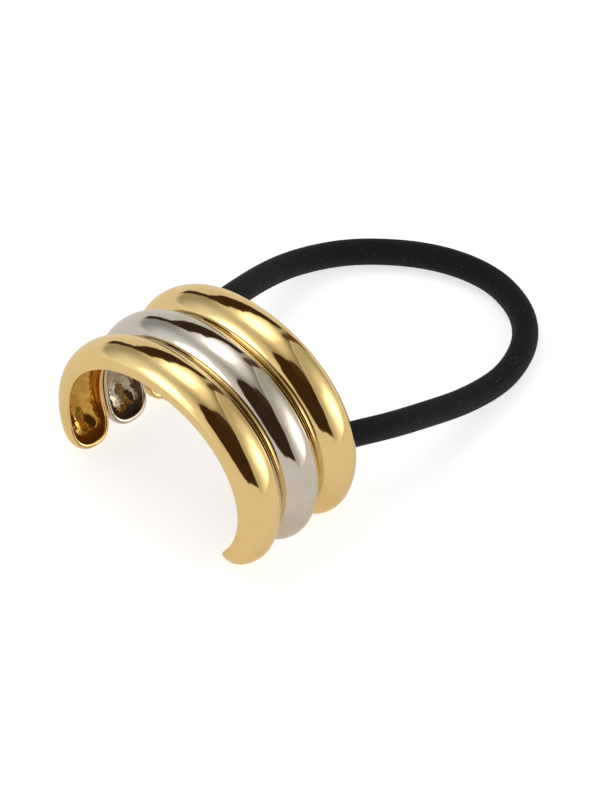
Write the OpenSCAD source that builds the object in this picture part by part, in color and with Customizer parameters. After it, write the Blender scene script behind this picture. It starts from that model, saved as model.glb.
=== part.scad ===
// Ponytail cuff: three half-round hollow bands bent into one arch, with an elastic loop behind them.
// X runs across the arch, Y from the front band to the elastic, Z up. The tips stand on Z = 0.

/* [Bands] */
// Width of one band across its dome
band_w = 7.75; // [6:0.05:9]
// Gap between neighbouring bands
band_gap = 0.25; // [0.1:0.05:0.6]
// Thickness of the metal
wall = 0.7; // [0.5:0.05:1]
// Height of the dome over its rim at the crown
crown_rise = 3.4; // [2.6:0.1:4.2]
// Height of the dome over its rim towards the tips
tip_rise = 4.2; // [3.4:0.1:5]
// Angle by which the dome's sides tuck in below its widest line
side_tuck = 11; // [0:1:20]

/* [Arch] */
// Length of a band's rim from tip to tip
rim_len = 70; // [60:1:80]
// Angle that the rim turns between the crown and a tip
tip_turn = 131; // [115:1:140]
// Length over which the width rounds off at a tip
tip_round = 4; // [3:0.1:6]
// Length over which the dome falls away at a tip
tip_fall = 6; // [4:0.1:9]

/* [Crown bar] */
// Width of the bar that joins the bands under the crown
bar_w = 5; // [3:0.5:8]
// Thickness of the bar
bar_t = 1.2; // [0.8:0.1:2]
// How far each end of the bar stays inside the outer bands' sides
bar_inset = 1; // [0.5:0.1:3]

/* [Elastic] */
// Diameter of the elastic
cord_d = 4; // [3:0.1:5]
// Height of the elastic's sockets above the floor
socket_h = 11; // [9:0.5:13]
// Length of a socket
socket_len = 5; // [4:0.5:6]
// Thickness of a socket's wall and floor
socket_wall = 0.6; // [0.4:0.1:1]
// Diameter of the post between a socket and its band
post_d = 2; // [1.5:0.1:3]

/* [Clearances] */
// Gap at a soldered seat, between a bar or post and its band
join_gap = 0.12; // [0.05:0.01:0.3]
// Clearance round the elastic in a socket
cord_fit = 0.12; // [0.05:0.01:0.3]
// Clearance between the elastic and the rim that it passes
cord_pass = 0.35; // [0.2:0.05:1]

/* [Hidden] */
half_len = rim_len / 2;
pitch = band_w + band_gap;

// How sharply the rim bends along one half, against its mean bend
bend_rows = [
    // share of the half, bend
    [0.00, 0.60],
    [0.33, 0.93],
    [0.67, 1.30],
    [1.00, 0.93]
];
bend_steps = 60;

// Roundness of the tips: 2 is an ellipse, more is fuller
tip_power = 2.4;

// Stations along half a band, and facets across its dome
half_stations = 24;
dome_facets = 14;
round_facets = 48;

// Route of the elastic from its right socket round to its left one
cord_route = [
    // x, y, z of the elastic's middle
    [15, 6.2, 11],
    [15, 9.4, 11],
    [15.1, 12, 11],
    [15.9, 15, 10.7],
    [17, 19, 10],
    [17.6, 24, 8.6],
    [17.8, 29.5, 6.8],
    [17.9, 35.5, 4.8],
    [17.6, 41.5, 3.1],
    [17, 47.6, 2.2],
    [14.8, 53.7, 2],
    [12, 57.3, 2],
    [8.4, 59.7, 2],
    [3, 61, 2],
    [-1.7, 60.4, 2],
    [-6, 58.7, 2],
    [-9.8, 56.2, 2],
    [-13.6, 52.7, 2],
    [-16.9, 48.5, 2.1],
    [-18.9, 43.5, 2.7],
    [-19.6, 37.8, 4.1],
    [-19, 31.7, 6.1],
    [-18, 26.3, 7.9],
    [-16.9, 21.1, 9.6],
    [-15.8, 16.3, 10.7],
    [-15.1, 12, 11],
    [-15, 9.4, 11],
    [-15, 6.2, 11]
];
cord_sides = 10;

// The rim line as rows of arc length, x, drop below the crown and heading below level
bends = [for (i = [0:bend_steps]) lookup(i / bend_steps, bend_rows)];
bend_sums = [for (i = 0, s = 0; i <= bend_steps; s = s + next_bend(i), i = i + 1) s];
headings = [for (s = bend_sums) tip_turn * s / bend_sums[bend_steps]];
step_len = half_len / bend_steps;
xs = [for (i = 0, s = 0; i <= bend_steps; s = s + step_len * cos(mid_heading(i)), i = i + 1) s];
drops = [for (i = 0, s = 0; i <= bend_steps; s = s + step_len * sin(mid_heading(i)), i = i + 1) s];
x_table = [for (i = [0:bend_steps]) [i * step_len, xs[i]]];
drop_table = [for (i = [0:bend_steps]) [i * step_len, drops[i]]];
heading_table = [for (i = [0:bend_steps]) [i * step_len, headings[i]]];

function next_bend(i) = i < bend_steps ? (bends[i] + bends[i + 1]) / 2 : 0;
function mid_heading(i) = i < bend_steps ? (headings[i] + headings[i + 1]) / 2 : headings[i];

// A surface of a band: inset is 0 on its outside and the wall's thickness on its inside
function surface_half(inset) = half_len - inset;
function round_off(left, over) = pow(1 - pow(max(0, 1 - left / over), tip_power), 1 / tip_power);
function half_width(arc, inset) =
    (band_w / 2 - inset) * round_off(surface_half(inset) - arc, tip_round - inset);
function full_rise(arc) = crown_rise + (tip_rise - crown_rise) * pow(arc / half_len, 2);
function rise(arc, inset) =
    (full_rise(arc) - inset) * round_off(surface_half(inset) - arc, tip_fall - inset);

// A point at height up over the rim, on the side of X that side gives
function over_rim(side, arc, y, up) =
    let (heading = lookup(arc, heading_table))
    [
        side * (lookup(arc, x_table) + up * sin(heading)),
        y,
        up * cos(heading) - lookup(arc, drop_table)
    ];

function section_angle(j) = -side_tuck + (180 + 2 * side_tuck) * j / dome_facets;
function dome_point(station, j, inset) =
    let (
        side = station < 0 ? -1 : 1,
        arc = surface_half(inset) * sin(90 * abs(station) / half_stations),
        angle = section_angle(j),
        lift = (sin(angle) + sin(side_tuck)) / (1 + sin(side_tuck))
    )
    over_rim(side, arc, -half_width(arc, inset) * cos(angle), rise(arc, inset) * lift);

function tip_point(side, inset) = over_rim(side, surface_half(inset), 0, 0);

// One surface: a tip, its rings of points, and the other tip
function surface_points(inset) = [
    tip_point(-1, inset),
    for (station = [1 - half_stations:half_stations - 1])
        for (j = [0:dome_facets])
            dome_point(station, j, inset),
    tip_point(1, inset)
];

rings = 2 * half_stations - 1;
ring_size = dome_facets + 1;
surface_count = rings * ring_size + 2;
function index(surface, ring, j) =
    surface * surface_count + (ring == 0 ? 0 : ring > rings ? surface_count - 1 : 1 + (ring - 1) * ring_size + j);

// Two triangles, or one where the quad runs to a tip
function quad(a, b, c, d) = [if (b != c) [a, c, b], if (a != d) [a, d, c]];
function surface_faces(surface) = [
    for (ring = [0:rings])
        for (j = [0:dome_facets - 1])
            each surface == 0
                ? quad(index(0, ring, j), index(0, ring + 1, j), index(0, ring + 1, j + 1), index(0, ring, j + 1))
                : quad(index(1, ring, j + 1), index(1, ring + 1, j + 1), index(1, ring + 1, j), index(1, ring, j))
];
function lip_faces() = [
    for (ring = [0:rings])
        for (j = [0, dome_facets])
            each j == 0
                ? quad(index(1, ring, j), index(1, ring + 1, j), index(0, ring + 1, j), index(0, ring, j))
                : quad(index(0, ring, j), index(0, ring + 1, j), index(1, ring + 1, j), index(1, ring, j))
];

outside = surface_points(0);
crown_h = -min([for (point = outside) point.z]);

// Where the rim and the inside of the dome are at the height of the sockets
socket_arc = lookup(socket_h - crown_h, [for (i = [0:bend_steps]) [-drops[i], i * step_len]]);
rim_x = lookup(socket_arc, x_table);
dome_x = over_rim(1, socket_arc, 0, rise(socket_arc, wall)).x;
post_dip = 1 - sqrt(1 - pow(post_d / (band_w - 2 * wall), 2));
post_end = dome_x - (dome_x - rim_x) * post_dip - join_gap;
socket_x = rim_x - cord_pass - cord_d / 2;
socket_r = cord_d / 2 + cord_fit + socket_wall;
bore_depth = socket_len - socket_wall;

// How far the rim has dropped where the crown bar's long edges are
bar_drop = lookup(bar_w / 2, [for (i = [0:bend_steps]) [xs[i], drops[i]]]);
bar_len = 2 * pitch + band_w - 2 * bar_inset;

module band(place) {
    translate([0, place * pitch, crown_h])
        polyhedron(
            points = concat(outside, surface_points(wall)),
            faces = concat(surface_faces(0), surface_faces(1), lip_faces())
        );
}

module socket(side) {
    translate([side * socket_x, pitch, socket_h])
        difference() {
            union() {
                rotate([90, 0, 0])
                    cylinder(r = socket_r, h = socket_len, center = true, $fn = round_facets);
                rotate([0, side * 90, 0])
                    cylinder(d = post_d, h = post_end - socket_x, $fn = round_facets);
            }
            translate([0, socket_len / 2 - bore_depth, 0])
                rotate([-90, 0, 0])
                    cylinder(r = cord_d / 2 + cord_fit, h = bore_depth + 1, $fn = round_facets);
        }
}

// A ring of the elastic, square to the route at one of its points
function unit(v) = v / norm(v);
function route_way(i) = unit(cord_route[min(i + 1, len(cord_route) - 1)] - cord_route[max(i - 1, 0)]);
function cord_ring(i) =
    let (way = route_way(i), across = unit(cross(way, [0, 0, 1])), up = cross(across, way))
    [
        for (k = [0:cord_sides - 1])
            cord_route[i] + cord_d / 2 * (across * sin(360 * k / cord_sides) - up * cos(360 * k / cord_sides))
    ];

module front_band() {
    color("goldenrod")
        band(-1);
}

module middle_band() {
    color("silver")
        band(0);
}

module back_band() {
    color("goldenrod")
        band(1);
}

module crown_bar() {
    color("goldenrod")
        translate([0, 0, crown_h - bar_drop - join_gap - bar_t])
            linear_extrude(bar_t)
                union() {
                    square([bar_w, bar_len - bar_w], center = true);
                    for (end = [-1, 1])
                        translate([0, end * (bar_len - bar_w) / 2])
                            circle(d = bar_w, $fn = round_facets);
                }
}

module left_socket() {
    color("goldenrod")
        socket(-1);
}

module right_socket() {
    color("goldenrod")
        socket(1);
}

module elastic_loop() {
    last = len(cord_route) - 1;
    color("dimgray")
        polyhedron(
            points = [for (i = [0:last]) each cord_ring(i)],
            faces = [
                [for (k = [0:cord_sides - 1]) cord_sides - 1 - k],
                for (i = [0:last - 1])
                    for (k = [0:cord_sides - 1])
                        let (a = i * cord_sides + k, b = i * cord_sides + (k + 1) % cord_sides)
                        each quad(a, a + cord_sides, b + cord_sides, b),
                [for (k = [0:cord_sides - 1]) last * cord_sides + k]
            ]
        );
}

front_band();
middle_band();
back_band();
crown_bar();
left_socket();
right_socket();
elastic_loop();
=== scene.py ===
import math

import bpy
import numpy as np
from mathutils import Matrix, Vector, noise


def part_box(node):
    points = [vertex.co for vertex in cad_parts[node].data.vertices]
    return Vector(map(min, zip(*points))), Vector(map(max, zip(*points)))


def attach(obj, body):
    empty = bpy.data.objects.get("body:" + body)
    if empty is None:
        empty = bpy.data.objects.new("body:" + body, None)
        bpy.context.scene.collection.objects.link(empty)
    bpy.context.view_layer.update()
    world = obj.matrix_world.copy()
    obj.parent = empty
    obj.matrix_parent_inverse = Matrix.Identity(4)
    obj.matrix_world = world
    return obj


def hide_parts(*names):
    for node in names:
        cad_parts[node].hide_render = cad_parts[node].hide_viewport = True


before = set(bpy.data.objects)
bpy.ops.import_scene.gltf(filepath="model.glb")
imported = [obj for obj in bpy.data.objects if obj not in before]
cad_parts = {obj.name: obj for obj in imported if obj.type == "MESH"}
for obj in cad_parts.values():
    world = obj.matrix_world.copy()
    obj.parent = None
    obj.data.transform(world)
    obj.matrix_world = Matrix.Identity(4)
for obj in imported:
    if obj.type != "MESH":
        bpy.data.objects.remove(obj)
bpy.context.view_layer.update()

# Camera: a long lens looks down on the cuff from the front right, so that its three bands, the left
# tips and the whole elastic show with hardly any perspective.
VIEW_AZIMUTH = math.radians(38.82)
VIEW_HEIGHT = math.radians(44.75)
VIEW_ROLL = math.radians(7.20)
VIEW_DISTANCE = 3.6
VIEW_NEAREST = 0.1
VIEW_FARTHEST = 60
VIEW_MIDDLE = Vector((0, 0, 0.010871))
SHIFT_RIGHT = 0.01365
SHIFT_UP = 0.00333
PIXELS_PER_METRE = 6750
IMAGE_HEIGHT = 800
SENSOR = 36

away = Vector((
    math.sin(VIEW_AZIMUTH) * math.cos(VIEW_HEIGHT),
    -math.cos(VIEW_AZIMUTH) * math.cos(VIEW_HEIGHT),
    math.sin(VIEW_HEIGHT),
))
level = Vector((math.cos(VIEW_AZIMUTH), math.sin(VIEW_AZIMUTH), 0))
upright = away.cross(level)
to_right = level * math.cos(VIEW_ROLL) + upright * math.sin(VIEW_ROLL)
to_top = upright * math.cos(VIEW_ROLL) - level * math.sin(VIEW_ROLL)
looked_at = VIEW_MIDDLE + to_right * SHIFT_RIGHT + to_top * SHIFT_UP

camera_data = bpy.data.cameras.new("camera")
camera_data.sensor_width = SENSOR
camera_data.lens = PIXELS_PER_METRE * SENSOR / IMAGE_HEIGHT * VIEW_DISTANCE
camera_data.clip_start = VIEW_NEAREST
camera_data.clip_end = VIEW_FARTHEST
camera = bpy.data.objects.new("camera", camera_data)
camera.matrix_world = Matrix.Translation(looked_at + away * VIEW_DISTANCE) @ Matrix(
    (to_right, to_top, away)
).transposed().to_4x4()
bpy.context.scene.collection.objects.link(camera)
bpy.context.scene.camera = camera
bpy.context.scene.view_settings.view_transform = "Standard"

# Elastic: a round rubber core under a braided black nylon cover, one length whose two ends are glued
# into the sockets behind the back band. It leaves them level, sinks to the table and lies there.
ELASTIC_WIDTH = 0.004
ELASTIC_ROUTE = [
    (0.0150, 0.0062, 0.0110),
    (0.0150, 0.0094, 0.0110),
    (0.0151, 0.0120, 0.0110),
    (0.0159, 0.0150, 0.0107),
    (0.0170, 0.0190, 0.0100),
    (0.0176, 0.0240, 0.0086),
    (0.0178, 0.0295, 0.0068),
    (0.0179, 0.0355, 0.0048),
    (0.0176, 0.0415, 0.0031),
    (0.0170, 0.0476, 0.0022),
    (0.0148, 0.0537, 0.0020),
    (0.0120, 0.0573, 0.0020),
    (0.0084, 0.0597, 0.0020),
    (0.0030, 0.0610, 0.0020),
    (-0.0017, 0.0604, 0.0020),
    (-0.0060, 0.0587, 0.0020),
    (-0.0098, 0.0562, 0.0020),
    (-0.0136, 0.0527, 0.0020),
    (-0.0169, 0.0485, 0.0021),
    (-0.0189, 0.0435, 0.0027),
    (-0.0196, 0.0378, 0.0041),
    (-0.0190, 0.0317, 0.0061),
    (-0.0180, 0.0263, 0.0079),
    (-0.0169, 0.0211, 0.0096),
    (-0.0158, 0.0163, 0.0107),
    (-0.0151, 0.0120, 0.0110),
    (-0.0150, 0.0094, 0.0110),
    (-0.0150, 0.0062, 0.0110),
]
ELASTIC_SIDES = 100
ELASTIC_RING_STEP = 0.0002
ELASTIC_EASE = 0.0018
EASE_PASSES = 3
CURVE_STEPS = 40
BRAID_STRANDS = 20
BRAID_PITCH = 0.0010
BRAID_DEPTH = 0.00005
STRAND_DIP = 0.45
THREAD_SCALE = 5200
THREAD_DEPTH = 0.00006
THREAD_TONES = (0.35, 0.70)
LINT_SCALE = 2600
LINT_TONES = (0.66, 0.74)
PATCH_SCALE = 420
PATCH_TONES = (0.42, 0.62)
ELASTIC_BLACK = (0.0082, 0.0095, 0.0140, 1)
ELASTIC_GREY = (0.0148, 0.0158, 0.0192, 1)
ELASTIC_LINT = (0.0800, 0.0800, 0.0850, 1)


def smooth_line(points, step, ease):
    """Evenly spaced points on a curve along the given ones, whose bends are eased over a distance."""
    p = np.array(points)
    p = np.vstack([2 * p[0] - p[1], p, 2 * p[-1] - p[-2]])
    t = np.linspace(0, 1, CURVE_STEPS, endpoint=False)[:, None]
    pieces = [
        0.5 * (
            2 * b + (c - a) * t + (2 * a - 5 * b + 4 * c - d) * t**2 + (3 * b - a - 3 * c + d) * t**3
        )
        for a, b, c, d in zip(p[:-3], p[1:-2], p[2:-1], p[3:])
    ]
    line = np.vstack(pieces + [p[-2:-1]])
    run = np.concatenate([[0], np.cumsum(np.linalg.norm(np.diff(line, axis=0), axis=1))])
    at = np.linspace(0, run[-1], round(run[-1] / step) + 1)
    line = np.stack([np.interp(at, run, line[:, k]) for k in range(3)], 1)
    reach = round(ease / step)
    window = np.ones(2 * reach + 1) / (2 * reach + 1)
    for _ in range(EASE_PASSES):
        before = 2 * line[0] - line[reach:0:-1]
        after = 2 * line[-1] - line[-2:-reach - 2:-1]
        longer = np.vstack([before, line, after])
        line = np.stack([np.convolve(longer[:, k], window, "valid") for k in range(3)], 1)
    return line, at


def carried_frames(line):
    """Two directions square to the line at each point, carried along it without twist."""
    ways = np.gradient(line, axis=0)
    ways /= np.linalg.norm(ways, axis=1)[:, None]
    across = np.cross(ways[0], (0, 0, 1.0))
    sides = []
    for way in ways:
        across = across - way * across.dot(way)
        across /= np.linalg.norm(across)
        sides.append(across)
    sides = np.array(sides)
    return sides, np.cross(sides, ways)


def mesh_piece(name, points, faces, materials, face_material=None):
    """A smooth-shaded object from points and faces, linked into the scene."""
    mesh = bpy.data.meshes.new(name)
    mesh.from_pydata([tuple(p) for p in points], [], faces)
    for material in materials:
        mesh.materials.append(material)
    if face_material is not None:
        mesh.polygons.foreach_set("material_index", face_material)
    mesh.polygons.foreach_set("use_smooth", [True] * len(mesh.polygons))
    mesh.update()
    piece = bpy.data.objects.new(name, mesh)
    bpy.context.scene.collection.objects.link(piece)
    return piece


def add_node(tree, kind, values=None, **settings):
    """A node of one kind, with its settings, and its inputs set or linked."""
    made = tree.nodes.new(kind)
    for key, value in settings.items():
        setattr(made, key, value)
    for key, value in (values or {}).items():
        if isinstance(value, bpy.types.NodeSocket):
            tree.links.new(value, made.inputs[key])
        else:
            made.inputs[key].default_value = value
    return made


def math_of(tree, operation, *values):
    """A Math node's result."""
    return add_node(tree, "ShaderNodeMath", dict(enumerate(values)), operation=operation).outputs[0]


def noise_of(tree, place, scale, detail):
    """A Noise Texture node's value."""
    values = {"Vector": place, "Scale": scale, "Detail": detail}
    return add_node(tree, "ShaderNodeTexNoise", values).outputs[0]


def ramp_of(tree, value, low, high, to_low=0.0, to_high=1.0):
    """A value carried smoothly from one range to another."""
    settings = {0: value, 1: low, 2: high, 3: to_low, 4: to_high}
    made = add_node(tree, "ShaderNodeMapRange", settings, interpolation_type="SMOOTHSTEP")
    return made.outputs[0]


def mix_of(tree, share, a, b):
    """A colour between two others."""
    made = add_node(tree, "ShaderNodeMix", data_type="RGBA")
    for key, value in (("Factor", share), ("A", a), ("B", b)):
        socket = [s for s in made.inputs if s.name == key and s.enabled][0]
        if isinstance(value, bpy.types.NodeSocket):
            tree.links.new(value, socket)
        else:
            socket.default_value = value
    return [s for s in made.outputs if s.enabled][0]


def new_material(name):
    """An empty material with its shader and output, and the shader node to fill in."""
    material = bpy.data.materials.new(name)
    material.use_nodes = True
    tree = material.node_tree
    tree.nodes.clear()
    shader = tree.nodes.new("ShaderNodeBsdfPrincipled")
    output = tree.nodes.new("ShaderNodeOutputMaterial")
    tree.links.new(shader.outputs[0], output.inputs[0])
    return material, tree, shader


line, run = smooth_line(ELASTIC_ROUTE, ELASTIC_RING_STEP, ELASTIC_EASE)
side_way, up_way = carried_frames(line)
turn = np.linspace(0, 1, ELASTIC_SIDES, endpoint=False)
one_way = turn[None, :] * BRAID_STRANDS + run[:, None] / BRAID_PITCH
other_way = turn[None, :] * BRAID_STRANDS - run[:, None] / BRAID_PITCH
over = (np.floor(one_way) + np.floor(other_way)) % 2 < 1
first = np.where(over, one_way, other_way) % 1
second = np.where(over, other_way, one_way) % 1
strand = np.sqrt(np.sin(np.pi * first)) * (1 - STRAND_DIP + STRAND_DIP * np.sin(np.pi * second))
radius = ELASTIC_WIDTH / 2 - BRAID_DEPTH * (1 - strand)
angle = 2 * np.pi * turn
rings = (
    line[:, None]
    + side_way[:, None] * (radius * np.cos(angle))[..., None]
    + up_way[:, None] * (radius * np.sin(angle))[..., None]
)
elastic_faces = [
    (i * ELASTIC_SIDES + k, i * ELASTIC_SIDES + (k + 1) % ELASTIC_SIDES,
     (i + 1) * ELASTIC_SIDES + (k + 1) % ELASTIC_SIDES, (i + 1) * ELASTIC_SIDES + k)
    for i in range(len(line) - 1) for k in range(ELASTIC_SIDES)
]
last_ring = (len(line) - 1) * ELASTIC_SIDES
elastic_faces.append(tuple(range(ELASTIC_SIDES))[::-1])
elastic_faces.append(tuple(last_ring + k for k in range(ELASTIC_SIDES)))

# The braid's threads and the lint on it
elastic_cover, tree, shader = new_material("elastic_cover")
place = add_node(tree, "ShaderNodeTexCoord").outputs["Object"]
threads = noise_of(tree, place, THREAD_SCALE, 3)
patches = noise_of(tree, place, PATCH_SCALE, 2)
flecks = noise_of(tree, place, LINT_SCALE, 1)
lint = math_of(
    tree, "MULTIPLY", ramp_of(tree, flecks, *LINT_TONES), ramp_of(tree, patches, *PATCH_TONES)
)
shade = mix_of(tree, ramp_of(tree, threads, *THREAD_TONES), ELASTIC_BLACK, ELASTIC_GREY)
tree.links.new(mix_of(tree, lint, shade, ELASTIC_LINT), shader.inputs["Base Color"])
thread_bump = add_node(
    tree, "ShaderNodeBump", {"Strength": 0.7, "Distance": THREAD_DEPTH, "Height": threads}
)
tree.links.new(thread_bump.outputs[0], shader.inputs["Normal"])
shader.inputs["Roughness"].default_value = 0.86
shader.inputs["Specular IOR Level"].default_value = 0.25
shader.inputs["Sheen Weight"].default_value = 0.05
shader.inputs["Sheen Roughness"].default_value = 0.45

elastic = mesh_piece("braided_elastic", rings.reshape(-1, 3), elastic_faces, [elastic_cover])
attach(elastic, "root")
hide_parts("elastic_loop")

# Bands: three equal half-round channels of cast and plated metal, bent into one arch with rounded
# tips. The outer two are plated in gold and the middle one in silver, all polished like a mirror.
BAND_WIDTH = 0.00775
BAND_GAP = 0.00025
BAND_WALL = 0.0007
CROWN_RISE = 0.0034
TIP_RISE = 0.0042
SIDE_TUCK = math.radians(11)
RIM_LENGTH = 0.070
TIP_TURN = math.radians(131)
TIP_ROUND = 0.004
TIP_FALL = 0.006
TIP_POWER = 2.4
BEND_SHARES = (0, 0.33, 0.67, 1)
BENDS = (0.60, 0.93, 1.30, 0.93)
LIP_ROUND = 0.00022
ARCH_STEPS = 2000
HALF_STATIONS = 160
LAST_STATION = math.radians(89)
OUTSIDE_STEPS = 56
LIP_STEPS = 8
INSIDE_STEPS = 44
CASTING_DEPTH = 0.00007
CASTING_LEAST = 0.08
CASTING_START = 0.80
CASTING_GROWTH = 0.10
CASTING_FILL = 0.6
CASTING_LUMP = 0.0011
LUMP_SHIFT = 7
FINE_LUMP_SHARE = 0.5
FINE_LUMP_RATIO = 2.3
FINE_SCALE = 2400
FINE_DEPTH = 0.0000004
WIPE_SCALE = 300
WIPE_STRETCH = (1, 9, 1)
WIPE_TONES = (0.45, 0.75)
METAL_TONES = (0.3, 0.7)
GOLD = (0.903, 0.709, 0.345, 1)
GOLD_DEEP = (0.880, 0.679, 0.316, 1)
# The gold inside colours are darker and browner than the plate: partly the cast, less polished finish
# and partly painted shade for the hollow of the channel.
GOLD_INSIDE = (0.71, 0.46, 0.12, 1)
GOLD_INSIDE_DEEP = (0.61, 0.32, 0.075, 1)
SILVER = (0.684, 0.660, 0.631, 1)
SILVER_DEEP = (0.650, 0.619, 0.575, 1)
# The silver inside colours are darker and browner than the plate: partly the cast finish and partly
# painted shade for the hollow of the channel.
SILVER_INSIDE = (0.56, 0.50, 0.43, 1)
SILVER_INSIDE_DEEP = (0.36, 0.31, 0.245, 1)

half_length = RIM_LENGTH / 2
arch_arc = np.linspace(0, half_length, ARCH_STEPS + 1)
bend = np.interp(arch_arc / half_length, BEND_SHARES, BENDS)
heading = np.concatenate([[0], np.cumsum((bend[1:] + bend[:-1]) / 2)])
heading *= TIP_TURN / heading[-1]
mid_heading = (heading[1:] + heading[:-1]) / 2
arch_x = np.concatenate([[0], np.cumsum(np.cos(mid_heading))]) * arch_arc[1]
arch_drop = np.concatenate([[0], np.cumsum(np.sin(mid_heading))]) * arch_arc[1]
rim_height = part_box("middle_band")[1].z - CROWN_RISE


def round_off(left, over):
    """How much of a full size is left at a distance from a rounded tip."""
    return (1 - np.maximum(0, 1 - left / over) ** TIP_POWER) ** (1 / TIP_POWER)


def over_rim(side, arc, y, up):
    """A point at a height over the rim, on one side of the arch."""
    turned = np.interp(arc, arch_arc, heading)
    x = np.interp(arc, arch_arc, arch_x) + up * np.sin(turned)
    z = rim_height - np.interp(arc, arch_arc, arch_drop) + up * np.cos(turned)
    return np.stack(np.broadcast_arrays(side * x, y, z), -1)


def dome_row(side, arc, inset, steps):
    """One surface of a band at one place along it, from just over one lip to just over the other."""
    surface_half = half_length - inset
    half_width = (BAND_WIDTH / 2 - inset) * round_off(surface_half - arc, TIP_ROUND - inset)
    full_rise = CROWN_RISE + (TIP_RISE - CROWN_RISE) * (arc / half_length) ** 2
    rise = (full_rise - inset) * round_off(surface_half - arc, TIP_FALL - inset)
    tuck = math.sin(SIDE_TUCK)
    start = math.asin(LIP_ROUND / rise * (1 + tuck) - tuck)
    turned = np.linspace(start, math.pi - start, steps + 1)
    return over_rim(side, arc, -half_width * np.cos(turned), rise * (np.sin(turned) + tuck) / (1 + tuck))


def lip_row(outer, inner, down):
    """The rounded edge between the outside and the inside, without its two ends."""
    turned = np.linspace(0, math.pi, LIP_STEPS + 1)[1:-1, None]
    return outer + (inner - outer) * (1 - np.cos(turned)) / 2 + down * LIP_ROUND * np.sin(turned)


def casting_relief(row, share, place):
    """The inside of a band as cast: lumps and hollows that grow towards the tips."""
    grown = min(1.0, max(0.0, (abs(share) - CASTING_START) / CASTING_GROWTH))
    depth = CASTING_DEPTH * (CASTING_LEAST + (1 - CASTING_LEAST) * grown)
    middle = row.mean(0)
    moved = []
    for k, point in enumerate(row):
        at = Vector(point) / CASTING_LUMP + Vector((LUMP_SHIFT * place, 0, 0))
        lump = noise.noise(at) + FINE_LUMP_SHARE * noise.noise(at * FINE_LUMP_RATIO)
        inward = Vector(middle - point)
        fade = math.sin(math.pi * k / (len(row) - 1)) ** 0.5
        shift = inward.normalized() * depth * fade * (lump + CASTING_FILL)
        moved.append(np.array(Vector(point) + shift))
    return np.array(moved)


def band_shape(place):
    """Points and faces of a band in the middle, and which faces are on its inside."""
    points, ring_starts = [], []
    for station in range(1 - HALF_STATIONS, HALF_STATIONS):
        side = -1 if station < 0 else 1
        share = math.sin(LAST_STATION * abs(station) / (HALF_STATIONS - 1))
        outer = dome_row(side, half_length * share, 0, OUTSIDE_STEPS)
        inner = dome_row(side, (half_length - BAND_WALL) * share, BAND_WALL, INSIDE_STEPS)[::-1]
        inner = casting_relief(inner, share, place)
        turned = np.interp(half_length * share, arch_arc, heading)
        down = -np.array((side * math.sin(turned), 0, math.cos(turned)))
        ring_starts.append(sum(len(p) for p in points))
        points += [outer, lip_row(outer[-1], inner[0], down), inner, lip_row(inner[-1], outer[0], down)]
    ring = OUTSIDE_STEPS + INSIDE_STEPS + 2 * LIP_STEPS
    faces, inside = [], []
    inside_start = OUTSIDE_STEPS + LIP_STEPS
    for a, b in zip(ring_starts, ring_starts[1:]):
        for k in range(ring):
            faces.append((a + k, b + k, b + (k + 1) % ring, a + (k + 1) % ring))
            inside.append(inside_start <= k < inside_start + INSIDE_STEPS)
    for side, start in ((-1, ring_starts[0]), (1, ring_starts[-1])):
        outer = over_rim(side, half_length, 0, LIP_ROUND)
        inner = over_rim(side, half_length - BAND_WALL, 0, LIP_ROUND)
        down = -np.array((side * math.sin(TIP_TURN), 0, math.cos(TIP_TURN)))
        tip = sum(len(p) for p in points)
        points += [outer[None], lip_row(outer, inner, down), inner[None]]
        for k in range(ring):
            here, after = start + k, start + (k + 1) % ring
            if k < OUTSIDE_STEPS:
                face = (here, after, tip)
            elif k < inside_start:
                face = (here, after, tip + k - OUTSIDE_STEPS + 1, tip + k - OUTSIDE_STEPS)
            elif k < inside_start + INSIDE_STEPS:
                face = (here, after, tip + LIP_STEPS)
            else:
                left = ring - k
                face = (here, after, tip + left - 1, tip + left)
            faces.append(face if side < 0 else face[::-1])
            inside.append(inside_start <= k < inside_start + INSIDE_STEPS)
    return np.vstack(points), faces, inside


def new_group(name, inputs, outputs):
    """A shader node group with float inputs and typed outputs."""
    group = bpy.data.node_groups.new(name, "ShaderNodeTree")
    for label, start in inputs:
        socket = group.interface.new_socket(name=label, in_out="INPUT", socket_type="NodeSocketFloat")
        socket.default_value = start
    for label, kind in outputs:
        group.interface.new_socket(name=label, in_out="OUTPUT", socket_type="NodeSocket" + kind)
    given = group.nodes.new("NodeGroupInput").outputs
    gives = group.nodes.new("NodeGroupOutput").inputs
    return group, given, gives


# Polish: a mirror finish that still waves a little, with faint wiping marks
polish, given, gives = new_group(
    "polish",
    (("Wave Depth", 0.00002), ("Wave Scale", 260.0), ("Mark Strength", 0.03), ("Base Roughness", 0.06)),
    (("Roughness", "Float"), ("Tone", "Float"), ("Normal", "Vector")),
)
place = add_node(polish, "ShaderNodeTexCoord").outputs["Object"]
waves = noise_of(polish, place, given["Wave Scale"], 1.5)
fine = noise_of(polish, place, FINE_SCALE, 3)
stretched = add_node(polish, "ShaderNodeMapping", {"Vector": place, "Scale": WIPE_STRETCH}).outputs[0]
wipes = noise_of(polish, stretched, WIPE_SCALE, 4)
wave_bump = add_node(
    polish, "ShaderNodeBump", {"Strength": 1.0, "Distance": given["Wave Depth"], "Height": waves}
).outputs[0]
fine_bump = add_node(
    polish, "ShaderNodeBump",
    {"Strength": 0.5, "Distance": FINE_DEPTH, "Height": fine, "Normal": wave_bump},
).outputs[0]
marks = ramp_of(polish, wipes, *WIPE_TONES)
dullness = math_of(polish, "MULTIPLY_ADD", marks, given["Mark Strength"], given["Base Roughness"])
polish.links.new(fine_bump, gives["Normal"])
polish.links.new(waves, gives["Tone"])
polish.links.new(dullness, gives["Roughness"])


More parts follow.
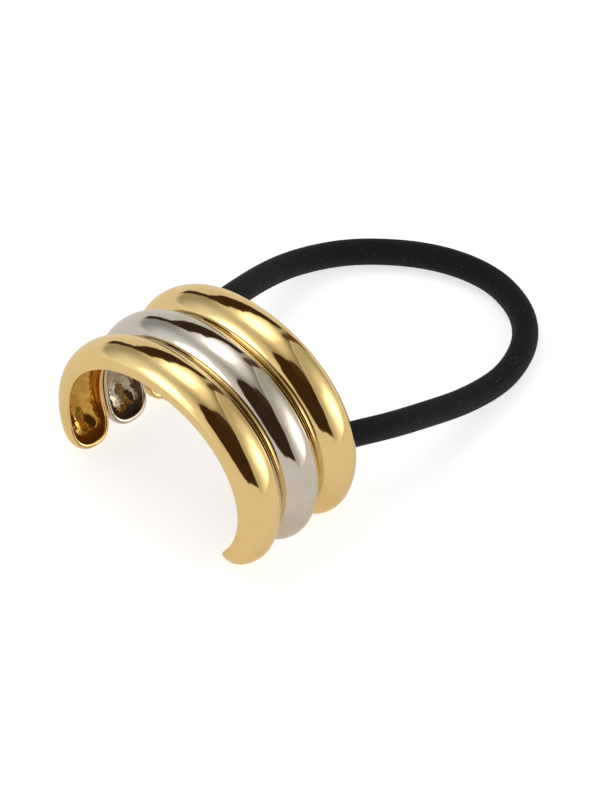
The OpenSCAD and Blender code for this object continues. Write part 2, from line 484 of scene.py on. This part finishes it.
def plated(name, light, deep, roughness, wave_depth, wave_scale, polished=1.0):
    """A plated metal, whose tone drifts a little over the surface, fully polished or partly dull."""
    material, tree, shader = new_material(name)
    surface = add_node(tree, "ShaderNodeGroup", node_tree=polish)
    surface.inputs["Wave Depth"].default_value = wave_depth
    surface.inputs["Wave Scale"].default_value = wave_scale
    surface.inputs["Base Roughness"].default_value = roughness
    tone = mix_of(tree, ramp_of(tree, surface.outputs["Tone"], *METAL_TONES), light, deep)
    tree.links.new(tone, shader.inputs["Base Color"])
    tree.links.new(surface.outputs["Roughness"], shader.inputs["Roughness"])
    tree.links.new(surface.outputs["Normal"], shader.inputs["Normal"])
    shader.inputs["Metallic"].default_value = polished
    return material


gold_outside = plated(
    "gold_plate", GOLD, GOLD_DEEP, roughness=0.06, wave_depth=0.00006, wave_scale=260
)
# The insides get darker, browner, less polished copies of the plate: their colour is partly the cast
# finish and partly painted shade for the hollow of the channel.
gold_inside_shaded = plated(
    "gold_plate_inside_shaded", GOLD_INSIDE, GOLD_INSIDE_DEEP,
    roughness=0.10, wave_depth=0.00004, wave_scale=1100, polished=0.86,
)
silver_outside = plated(
    "silver_plate", SILVER, SILVER_DEEP, roughness=0.06, wave_depth=0.00006, wave_scale=260
)
silver_inside_shaded = plated(
    "silver_plate_inside_shaded", SILVER_INSIDE, SILVER_INSIDE_DEEP,
    roughness=0.10, wave_depth=0.00005, wave_scale=1250, polished=0.9,
)

for name, node, place, slot, finish in (
    ("front_gold_band", "front_band", -1, "gold_plate", (gold_outside, gold_inside_shaded)),
    ("middle_silver_band", "middle_band", 0, "silver_plate", (silver_outside, silver_inside_shaded)),
    ("back_gold_band", "back_band", 1, "gold_plate", (gold_outside, gold_inside_shaded)),
):
    points, faces, inside = band_shape(place)
    points = points + np.array((0, place * (BAND_WIDTH + BAND_GAP), 0))
    band = mesh_piece(name, points, faces, finish, inside)
    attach(band, "root")
    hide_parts(node)

# Crown bar: a plain flat brass bar with rounded ends and broken edges, plated in gold. It lies under
# the crown, and two low seams of solder join it to the lips of the bands where they meet.
BAR_EDGE = 0.00025
BAR_EDGE_STEPS = 6
BAR_END_STEPS = 40
SEAM_REACH = 0.0023
SEAM_FOOT = 0.0013
SEAM_HEAD = 0.0009
SEAM_HOLLOW = 2.2
SEAM_END = 0.12
SEAM_SINK = 0.00002
SEAM_LENGTH_STEPS = 28
SEAM_SIDE_STEPS = 6

bar_low, bar_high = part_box("crown_bar")
bar_half_width = (bar_high.x - bar_low.x) / 2
bar_straight = (bar_high.y - bar_low.y) / 2 - bar_half_width
bar_points, bar_faces = [], []
edge_rows = [
    (BAR_EDGE * (1 - math.cos(t)), z + BAR_EDGE * math.sin(t) * way)
    for z, way, turns in (
        (bar_low.z + BAR_EDGE, -1, np.linspace(math.pi / 2, 0, BAR_EDGE_STEPS)),
        (bar_high.z - BAR_EDGE, 1, np.linspace(0, math.pi / 2, BAR_EDGE_STEPS)),
    )
    for t in turns
]
for inset, z in edge_rows:
    for k in range(2 * BAR_END_STEPS):
        t = math.pi * (k % BAR_END_STEPS) / (BAR_END_STEPS - 1) + (math.pi if k >= BAR_END_STEPS else 0)
        middle = bar_straight if k < BAR_END_STEPS else -bar_straight
        reach = bar_half_width - inset
        bar_points.append((reach * math.cos(t), middle + reach * math.sin(t), z))
bar_ring = 2 * BAR_END_STEPS
for i in range(len(edge_rows) - 1):
    for k in range(bar_ring):
        a, b = i * bar_ring + k, i * bar_ring + (k + 1) % bar_ring
        bar_faces.append((a, b, b + bar_ring, a + bar_ring))
bar_faces.append(tuple(range(bar_ring))[::-1])
bar_faces.append(tuple((len(edge_rows) - 1) * bar_ring + k for k in range(bar_ring)))

# Each seam fills the slit between the bar and the two bent lips over it, with hollow sides
seam_ring = 2 * (SEAM_SIDE_STEPS + 1)
for side in (-1, 1):
    middle = side * (BAND_WIDTH + BAND_GAP) / 2
    seam_start = len(bar_points)
    for x in np.linspace(-SEAM_REACH, SEAM_REACH, SEAM_LENGTH_STEPS + 1):
        under_lip = rim_height - np.interp(abs(x), arch_x, arch_drop) + LIP_ROUND
        full = math.sqrt(max(0.0, 1 - (x / SEAM_REACH) ** 4))
        share = np.linspace(0, 1, SEAM_SIDE_STEPS + 1)
        across = SEAM_HEAD + (SEAM_FOOT - SEAM_HEAD) * (1 - share) ** SEAM_HOLLOW
        across = across * (SEAM_END + (1 - SEAM_END) * full)
        z = bar_high.z - SEAM_SINK + (under_lip - bar_high.z) * share
        bar_points += [(x, middle - a, h) for a, h in zip(across, z)]
        bar_points += [(x, middle + a, h) for a, h in zip(across[::-1], z[::-1])]
    for i in range(SEAM_LENGTH_STEPS):
        for k in range(seam_ring):
            a, b = seam_start + i * seam_ring + k, seam_start + i * seam_ring + (k + 1) % seam_ring
            bar_faces.append((a, b, b + seam_ring, a + seam_ring))
    last = seam_start + SEAM_LENGTH_STEPS * seam_ring
    bar_faces.append(tuple(seam_start + k for k in range(seam_ring))[::-1])
    bar_faces.append(tuple(last + k for k in range(seam_ring)))

gold_fittings = plated(
    "gold_plate_fittings", GOLD, GOLD_DEEP, roughness=0.12, wave_depth=0.00003, wave_scale=500
)
bar = mesh_piece("crown_bar_soldered", bar_points, bar_faces, [gold_fittings])
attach(bar, "root")
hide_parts("crown_bar")

# Sockets: two turned brass cups with a rolled mouth, plated in gold, that hold the glued ends of the
# elastic. Each is soldered to the inside of the back band by a short post.
CUP_RADIUS = 0.00262
CUP_MOUTH = 0.00272
CUP_BORE = 0.00204
CUP_FLOOR = 0.0006
CUP_EDGE = 0.0004
CUP_BEVEL = 0.0002
MOUTH_LENGTH = 0.0009
MOUTH_STEPS = 12
POST_RADIUS = 0.0010
POST_SINK = 0.0004
POST_FLARE = 0.00042
POST_FLARE_POWER = 2.5
POST_FLARE_STEPS = 8
POST_SEAT = 0.00022
POST_SEAT_RUN = 1.4
TURNED_SIDES = 72
TURNED_START = 0.0001


def corner(radius, along, size, start, end, steps=6):
    """A quarter round of a turned profile, as pairs of radius and place along the axis."""
    return [
        (radius + size * math.cos(t), along + size * math.sin(t)) for t in np.linspace(start, end, steps)
    ]


def turn_profile(profile, middle, axis, across, points, faces):
    """Turn a profile of pairs of radius and place round an axis, and close its two ends."""
    first = len(points)
    other = axis.cross(across)
    for radius, along in profile:
        for k in range(TURNED_SIDES):
            t = 2 * math.pi * k / TURNED_SIDES
            points.append(middle + axis * along + (across * math.cos(t) + other * math.sin(t)) * radius)
    for i in range(len(profile) - 1):
        for k in range(TURNED_SIDES):
            a, b = first + i * TURNED_SIDES + k, first + i * TURNED_SIDES + (k + 1) % TURNED_SIDES
            faces.append((a, b, b + TURNED_SIDES, a + TURNED_SIDES))
    last = first + (len(profile) - 1) * TURNED_SIDES
    faces.append(tuple(first + k for k in range(TURNED_SIDES))[::-1])
    faces.append(tuple(last + k for k in range(TURNED_SIDES)))


for side, name, node in (
    (-1, "left_elastic_socket", "left_socket"),
    (1, "right_elastic_socket", "right_socket"),
):
    low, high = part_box(node)
    half = (high.y - low.y) / 2
    cup_x = high.x - CUP_MOUTH if side < 0 else low.x + CUP_MOUTH
    middle = Vector((cup_x, (low.y + high.y) / 2, (low.z + high.z) / 2))
    lip = (CUP_MOUTH - CUP_BORE) / 2
    cup = (
        [(TURNED_START, -half), (CUP_RADIUS - CUP_EDGE - TURNED_START, -half)]
        + corner(CUP_RADIUS - CUP_EDGE, CUP_EDGE - half, CUP_EDGE, -math.pi / 2, 0)
        + [(CUP_RADIUS, half - MOUTH_LENGTH)]
        + [(CUP_MOUTH, half - MOUTH_LENGTH + CUP_BEVEL)]
        + corner(CUP_BORE + lip, half - lip, lip, 0, math.pi, MOUTH_STEPS)
        + [(CUP_BORE, CUP_FLOOR - half + CUP_BEVEL)]
        + [(CUP_BORE - CUP_BEVEL, CUP_FLOOR - half), (TURNED_START, CUP_FLOOR - half)]
    )
    outward = Vector((side, 0, 0))
    reach = abs((high.x if side > 0 else low.x) - cup_x) + POST_SEAT
    root = CUP_RADIUS - POST_SINK
    shares = np.linspace(0, 1, POST_FLARE_STEPS)
    post = [
        (POST_RADIUS + POST_FLARE * (1 - t) ** POST_FLARE_POWER, root + (POST_FLARE + POST_SINK) * t)
        for t in shares
    ] + [
        (POST_RADIUS + POST_FLARE * t**POST_FLARE_POWER, reach - POST_FLARE * POST_SEAT_RUN * (1 - t))
        for t in shares
    ]
    points, faces = [], []
    turn_profile(cup, middle, Vector((0, 1, 0)), Vector((1, 0, 0)), points, faces)
    turn_profile(post, middle, outward, Vector((0, 1, 0)), points, faces)
    socket = mesh_piece(name, points, faces, [gold_fittings])
    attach(socket, "root")
    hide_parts(node)

# Stage: a plain pale table and a white studio round it. The metal mirrors the studio's soft boxes
# and its dark openings, and everything else gets the studio's even light.
TABLE_REACH = 4
TABLE_TOP = -0.00004
TABLE_GLOW = 0.68
TABLE_GLOW_LOSS = 0.308
EVEN_LIGHT = 0.28
MIRRORED_LIGHT = 0.922
STUDIO_WAVE_SCALE = 5
STUDIO_WAVE = 0.09
WHITE = (1, 1, 1, 1)
TABLE_MIRRORED = (1, 0.83, 0.62, 1)
DARK_BROWN = (1, 0.534, 0.279, 1)
DARK_CREAM = (1, 0.929, 0.722, 1)
CREAM = (1, 0.92, 0.82, 1)
WALL_WHITE = (0.96, 0.945, 0.895, 1)

table_white, tree, shader = new_material("table_white")
shader.inputs["Base Color"].default_value = (0.86, 0.86, 0.86, 1)
shader.inputs["Roughness"].default_value = 0.9
shader.inputs["Specular IOR Level"].default_value = 0
seen_by_metal = add_node(tree, "ShaderNodeLightPath").outputs["Is Glossy Ray"]
glow_colour = mix_of(tree, seen_by_metal, WHITE, TABLE_MIRRORED)
glow = math_of(tree, "MULTIPLY_ADD", seen_by_metal, -TABLE_GLOW_LOSS, TABLE_GLOW)
tree.links.new(glow_colour, shader.inputs["Emission Color"])
tree.links.new(glow, shader.inputs["Emission Strength"])
floor_corners = [
    (x * TABLE_REACH, y * TABLE_REACH, TABLE_TOP) for x, y in ((-1, -1), (1, -1), (1, 1), (-1, 1))
]
floor = mesh_piece("table", floor_corners, [(0, 1, 2, 3)], [table_white])

world = bpy.data.worlds.new("studio")
bpy.context.scene.world = world
world.use_nodes = True
tree = world.node_tree
tree.nodes.clear()
straight_way = add_node(tree, "ShaderNodeTexCoord").outputs["Generated"]
uneven = add_node(
    tree, "ShaderNodeTexNoise", {"Vector": straight_way, "Scale": STUDIO_WAVE_SCALE, "Detail": 2}
).outputs["Color"]
centred = add_node(
    tree, "ShaderNodeVectorMath", {0: uneven, 1: (0.5, 0.5, 0.5)}, operation="SUBTRACT"
).outputs[0]
wobbled = add_node(
    tree, "ShaderNodeVectorMath", {0: centred, 1: (STUDIO_WAVE,) * 3, 2: straight_way},
    operation="MULTIPLY_ADD",
).outputs[0]
way = add_node(tree, "ShaderNodeVectorMath", {0: wobbled}, operation="NORMALIZE").outputs[0]
parts = add_node(tree, "ShaderNodeSeparateXYZ", {0: way}).outputs
azimuth = math_of(tree, "DEGREES", math_of(tree, "ARCTAN2", parts[0], parts[1]))
height = math_of(tree, "DEGREES", math_of(tree, "ARCSINE", parts[2]))


def round_patch(az, el, reach, softness):
    """A round part of the studio, by the direction of its middle and its size in degrees."""
    az, el = math.radians(az), math.radians(el)
    middle = (math.cos(el) * math.sin(az), math.cos(el) * math.cos(az), math.sin(el))
    dot = add_node(tree, "ShaderNodeVectorMath", {0: way, 1: middle}, operation="DOT_PRODUCT")
    angle = math_of(tree, "DEGREES", math_of(tree, "ARCCOSINE", dot.outputs["Value"]))
    return ramp_of(tree, angle, reach + softness, reach - softness)


def panel(az, el, half_az, half_el, softness, lean):
    """A straight-sided part of the studio, whose top and bottom lean by so much a degree."""
    off = math_of(tree, "WRAP", math_of(tree, "SUBTRACT", azimuth, az), 180, -180)
    rise = math_of(tree, "SUBTRACT", height, math_of(tree, "MULTIPLY_ADD", off, lean, el))
    sideways = ramp_of(tree, math_of(tree, "ABSOLUTE", off), half_az + softness, half_az - softness)
    upward = ramp_of(tree, math_of(tree, "ABSOLUTE", rise), half_el + softness, half_el - softness)
    return math_of(tree, "MULTIPLY", sideways, upward)


mirrored = ramp_of(tree, height, 4, 20, 0.83, 0.62)
mirrored = ramp_of(tree, height, 36, 72, mirrored, 0.38)
for patch, brightness in (
    # the soft box on the left, and the table that rises behind it
    (round_patch(-122, 10, 50, 3), 0.40),
    (panel(-128, -6, 53, 11, 3, 0), 0.82),
    (round_patch(-146, 26, 34, 24), 1.08),
    (round_patch(-152, 8, 18, 10), 1.15),
    (round_patch(-157, 12, 9, 7), 1.8),
    (round_patch(-140, 40, 8, 8), 1.6),
    (round_patch(-150, 27, 13, 7), 3.5),
    # the soft box overhead
    (round_patch(-49, 62, 25, 14), 1.06),
    (round_patch(-34, 49, 12, 9), 1.45),
    (round_patch(-58, 64, 9, 9), 3.0),
    (round_patch(-44, 58, 8, 9), 3.2),
    # the shade between the soft boxes, and the dark side of the room
    (round_patch(39, 14, 55, 8), 0.32),
    (panel(118, 0, 60, 17, 4, 0), 0.83),
    (round_patch(125, 46, 35, 1.5), 0.048),
    (round_patch(97, 66, 14, 2), 0.048),
    (round_patch(150, 66, 15, 2), 0.048),
    (panel(120, 28.7, 34, 16, 1.5, 0.16), 0.048),
    (round_patch(84, 70, 10, 3), 0.07),
    # the round soft box on the right, with its rim
    (round_patch(39, 14, 49.5, 1.2), 0.27),
    (round_patch(39, 14, 47.5, 0.8), 0.84),
    (round_patch(39, 14, 46, 1.2), 0.56),
    (round_patch(2, 12, 9, 14), 0.42),
    (panel(74, -8, 36, 12, 5, 0), 0.83),
    (round_patch(44, 14, 29, 13), 1.15),
    (round_patch(60, 28, 8, 7), 1.4),
    (round_patch(44, 17, 11, 13), 3.9),
    # the doorway behind the table, lit at its foot, and the gap beside it
    (panel(-61, 23, 13, 21, 1.5, 0), 0.05),
    (panel(-36, 20.5, 17.5, 16, 1.5, -0.6), 0.05),
    (panel(-42, 0.5, 23, 16, 1.5, -0.25), 0.79),
    (panel(-17.6, 12, 1.1, 30, 0.8, 0), 0.55),
    (panel(-13, 8, 3.4, 33, 1.5, 0), 0.11),
):
    difference = math_of(tree, "SUBTRACT", brightness, mirrored)
    mirrored = math_of(tree, "MULTIPLY_ADD", patch, difference, mirrored)

# The darker a part of the studio is, the browner it looks in the metal, and the wall on the left is
# whiter. The camera sees the studio as plain white, and everything else gets an even light from it.
tint = mix_of(tree, ramp_of(tree, mirrored, 0.03, 0.3), DARK_BROWN, DARK_CREAM)
tint = mix_of(tree, ramp_of(tree, mirrored, 0.5, 0.9), tint, CREAM)
tint = mix_of(tree, round_patch(-118, 14, 36, 22), tint, WALL_WHITE)
ray = add_node(tree, "ShaderNodeLightPath").outputs
seen_by_metal = ray["Is Glossy Ray"]
change = math_of(tree, "MULTIPLY_ADD", mirrored, MIRRORED_LIGHT, -EVEN_LIGHT)
strength = math_of(tree, "MULTIPLY_ADD", seen_by_metal, change, EVEN_LIGHT)
strength = math_of(tree, "MULTIPLY_ADD", ray["Is Camera Ray"], 1 - EVEN_LIGHT, strength)
tint = mix_of(tree, seen_by_metal, WHITE, tint)
background = add_node(tree, "ShaderNodeBackground", {"Color": tint, "Strength": strength})
output = add_node(tree, "ShaderNodeOutputWorld")
tree.links.new(background.outputs[0], output.inputs[0])

for name, toward, brightness, spread in (
    ("soft_key", (-0.5, -0.1, 0.9), 0.5, 40),
    ("soft_fill", (0.7, 0.4, 0.7), 0.3, 40),
):
    lamp_data = bpy.data.lights.new(name, "SUN")
    lamp_data.energy = brightness
    lamp_data.angle = math.radians(spread)
    lamp = bpy.data.objects.new(name, lamp_data)
    lamp.rotation_euler = (-Vector(toward)).to_track_quat("-Z", "Y").to_euler()
    lamp.visible_glossy = False
    bpy.context.scene.collection.objects.link(lamp)
